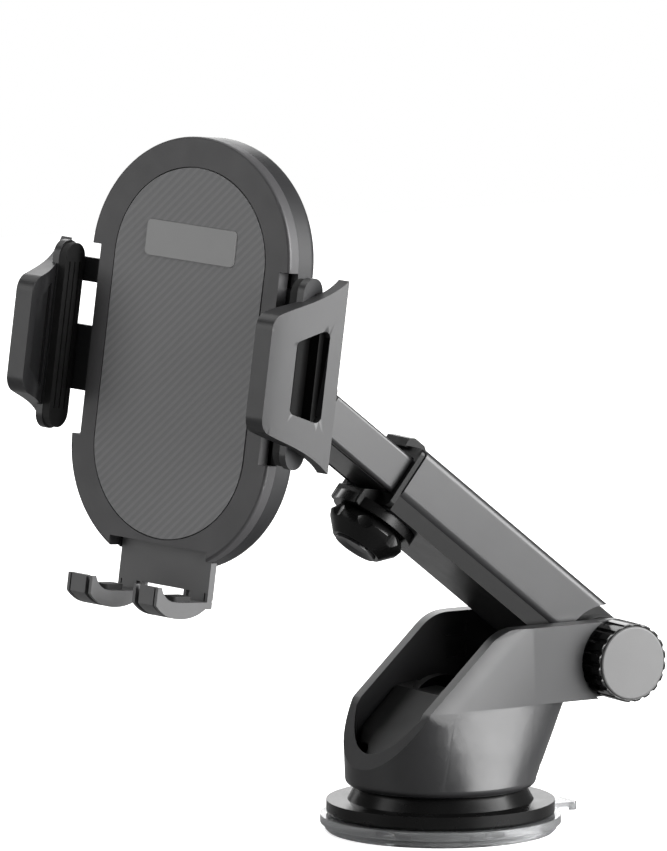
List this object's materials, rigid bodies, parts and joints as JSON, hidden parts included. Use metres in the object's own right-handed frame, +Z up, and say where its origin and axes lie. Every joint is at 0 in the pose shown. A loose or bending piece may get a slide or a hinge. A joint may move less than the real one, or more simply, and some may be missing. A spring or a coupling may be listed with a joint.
{
  "type": "car phone mount",
  "caption": "Dashboard phone holder with a lever-locked suction cup, hinged telescopic arm, ball joint and a clamping cradle with side jaws and a foot.",
  "frame": {"origin": "centre of the suction cup's sealing rim, on the surface it grips", "axes": "+Z up, +Y along the pivot axis away from the clamp knob, the arm rises towards -X"},
  "size_m": [0.17, 0.0896, 0.1868],
  "materials": {
    "satin_black": "satin",
    "gloss_black": "gloss",
    "textured_grey": "matte",
    "gel": "gloss",
    "rubber_black": "matte",
    "steel": "satin"
  },
  "bodies": {
    "base": {"suction_cup": "gel", "cup_spring": "steel", "base_skirt": "satin_black", "base_screws": "steel", "base_housing": "satin_black", "lever_pin": "steel", "pivot_end_cap": "satin_black", "pivot_nut": "steel", "friction_washers": "steel"},
    "stem": {"cup_stem": "satin_black", "stem_pin": "steel"},
    "lever": {"suction_lever": "satin_black"},
    "pivot_clamp": {"pivot_knob": "gloss_black", "pivot_knob_cap": "textured_grey", "pivot_bolt": "steel"},
    "arm": {"arm_knuckle": "satin_black", "outer_tube": "satin_black", "collar": "satin_black", "lock_nut": "steel", "brake_pad": "rubber_black"},
    "lock": {"lock_knob": "satin_black", "lock_knob_cap": "satin_black", "lock_screw": "steel"},
    "extension": {"inner_arm": "satin_black", "inner_arm_guide": "satin_black", "ball_stud": "satin_black"},
    "ball_cup": {"friction_cup": "satin_black"},
    "ball_disc": {"pressure_disc": "satin_black"},
    "holder": {"ring_nut": "satin_black", "rear_housing": "satin_black", "front_plate": "satin_black", "front_insert": "textured_grey", "badge_plate": "textured_grey", "housing_screws": "steel", "pinion_pin": "steel", "pawl_pin": "steel"},
    "left_clamp": {"left_slider": "satin_black", "left_jaw": "satin_black", "left_jaw_screws": "steel", "left_pad": "rubber_black"},
    "right_clamp": {"right_slider": "satin_black", "right_jaw": "satin_black", "right_jaw_screws": "steel", "right_pad": "rubber_black"},
    "drive_pinion": {"pinion": "satin_black"},
    "phone_rest": {"foot": "satin_black", "foot_pads": "rubber_black"},
    "latch": {"pawl": "satin_black"},
    "button": {"release_button": "satin_black"}
  },
  "joints": [
    {"name": "lever_turn", "type": "hinge", "parent": "base", "child": "lever", "pos_m": [0.004, 0, 0.0285], "axis": [0, 1, 0], "range_deg": [0, 75]},
    {"name": "stem_travel", "type": "slide", "parent": "base", "child": "stem", "axis": [0, 0, -1], "range_m": [0, 0.0015]},
    {"name": "pivot_knob_turn", "type": "hinge", "parent": "base", "child": "pivot_clamp", "pos_m": [0.0422, 0, 0.0442], "axis": [0, -1, 0], "range_deg": [-180, 180]},
    {"name": "arm_tilt", "type": "hinge", "parent": "base", "child": "arm", "pos_m": [0.0422, 0, 0.0442], "axis": [0, 1, 0], "range_deg": [-20, 130]},
    {"name": "lock_knob_turn", "type": "hinge", "parent": "arm", "child": "lock", "pos_m": [-0.01524, 0, 0.09005], "axis": [-0.6239, 0, -0.7815], "range_deg": [-180, 180]},
    {"name": "arm_extend", "type": "slide", "parent": "arm", "child": "extension", "axis": [-0.7815, 0, 0.6239], "range_m": [-0.025, 0.015]},
    {"name": "ball_yaw", "type": "hinge", "parent": "extension", "child": "ball_cup", "pos_m": [-0.06196, 0, 0.12914], "axis": [0.1232, -0.0134, 0.9923], "range_deg": [-53, 6]},
    {"name": "ball_tilt", "type": "hinge", "parent": "ball_cup", "child": "ball_disc", "pos_m": [-0.06196, 0, 0.12914], "axis": [0.3888, -0.9193, -0.0607], "range_deg": [-49, 7]},
    {"name": "ball_roll", "type": "hinge", "parent": "ball_disc", "child": "holder", "pos_m": [-0.06196, 0, 0.12914], "axis": [0.9131, 0.3932, -0.108], "continuous": true},
    {"name": "left_jaw_slide", "type": "slide", "parent": "holder", "child": "left_clamp", "axis": [-0.3888, 0.9193, 0.0607], "range_m": [-0.0065, 0.01]},
    {"name": "right_jaw_slide", "type": "slide", "parent": "holder", "child": "right_clamp", "axis": [0.3888, -0.9193, -0.0607], "range_m": [-0.0065, 0.01]},
    {"name": "pinion_turn", "type": "hinge", "parent": "holder", "child": "drive_pinion", "pos_m": [-0.07676, -0.00637, 0.13089], "axis": [-0.9131, -0.3932, 0.108], "range_deg": [-63, 96]},
    {"name": "foot_slide", "type": "slide", "parent": "holder", "child": "phone_rest", "axis": [-0.1232, 0.0134, -0.9923], "range_m": [-0.003, 0.014]},
    {"name": "button_press", "type": "slide", "parent": "holder", "child": "button", "axis": [-0.9131, -0.3932, 0.108], "range_m": [0, 0.0008], "stiffness_N_per_m": 600, "springref_m": -0.002},
    {"name": "pawl_turn", "type": "hinge", "parent": "holder", "child": "latch", "pos_m": [-0.07544, 0.00434, 0.15506], "axis": [0.3888, -0.9193, -0.0607], "range_deg": [0, 6]}
  ],
  "couplings": [
    {"joint": "stem_travel", "follows": "lever_turn", "m_per_rad": 0.0011459},
    {"joint": "right_jaw_slide", "follows": "left_jaw_slide", "ratio": 1},
    {"joint": "pinion_turn", "follows": "left_jaw_slide", "rad_per_m": 166.67},
    {"joint": "pawl_turn", "follows": "button_press", "rad_per_m": 125}
  ]
}
